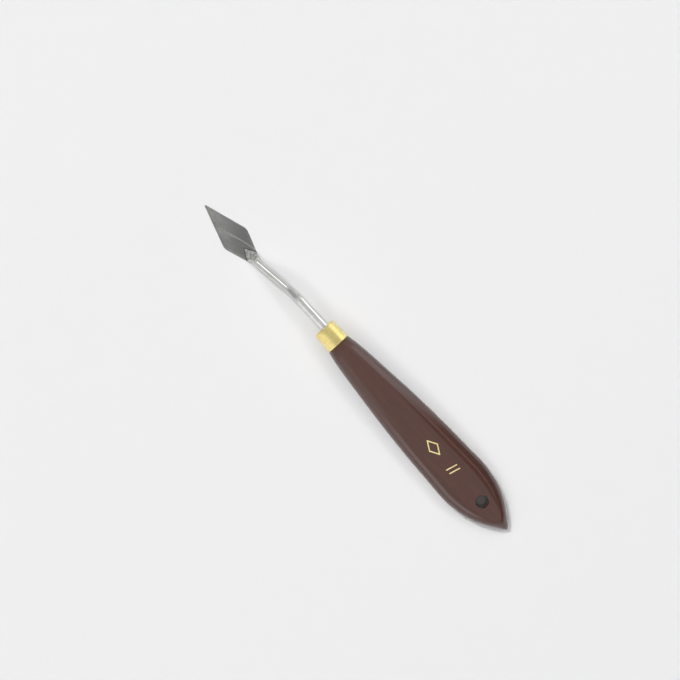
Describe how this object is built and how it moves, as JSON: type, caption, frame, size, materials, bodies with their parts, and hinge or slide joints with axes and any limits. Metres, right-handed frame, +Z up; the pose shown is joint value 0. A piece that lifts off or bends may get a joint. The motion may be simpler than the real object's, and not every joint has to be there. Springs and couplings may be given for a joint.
{
  "type": "palette knife",
  "caption": "Painting knife with a small lozenge spring-steel blade on a cranked round shank, brass ferrule and lacquered wooden handle with a hanging hole.",
  "frame": {"origin": "bottom centre of the whole knife as it lies on a table, blade underside and butt on z = 0", "axes": "+X along the knife towards the blade's tip, +Z up through the handle's planed faces, +Y to the left of the tip"},
  "size_m": [0.1808, 0.0224, 0.0159],
  "materials": {
    "lacquered_wood": "dark reddish-brown stain under a clear gloss lacquer",
    "brass": "drawn sheet brass, bright, with faint lathe lines",
    "epoxy": "cured adhesive, hidden inside",
    "bright_steel": "polished round rod, hammered dull at the pad",
    "solder": "silver solder, bright and slightly lumpy",
    "blade_steel": "hardened and ground spring steel, satin grey",
    "gold_foil": "hot-stamped gold foil"
  },
  "bodies": {
    "knife": {"handle": "lacquered_wood", "ferrule": "brass", "tang_glue": "epoxy", "shank": "bright_steel", "solder": "solder", "blade_heel": "blade_steel", "foil_mark": "gold_foil"},
    "blade": {"blade_leaf": "blade_steel"}
  },
  "joints": [
    {"name": "blade_flex", "type": "hinge", "parent": "knife", "child": "blade", "pos_m": [0.06703, 0.002, 0.00025], "axis": [0, -1, 0], "range_deg": [-15, 15], "stiffness_Nm_per_rad": 0.5}
  ]
}
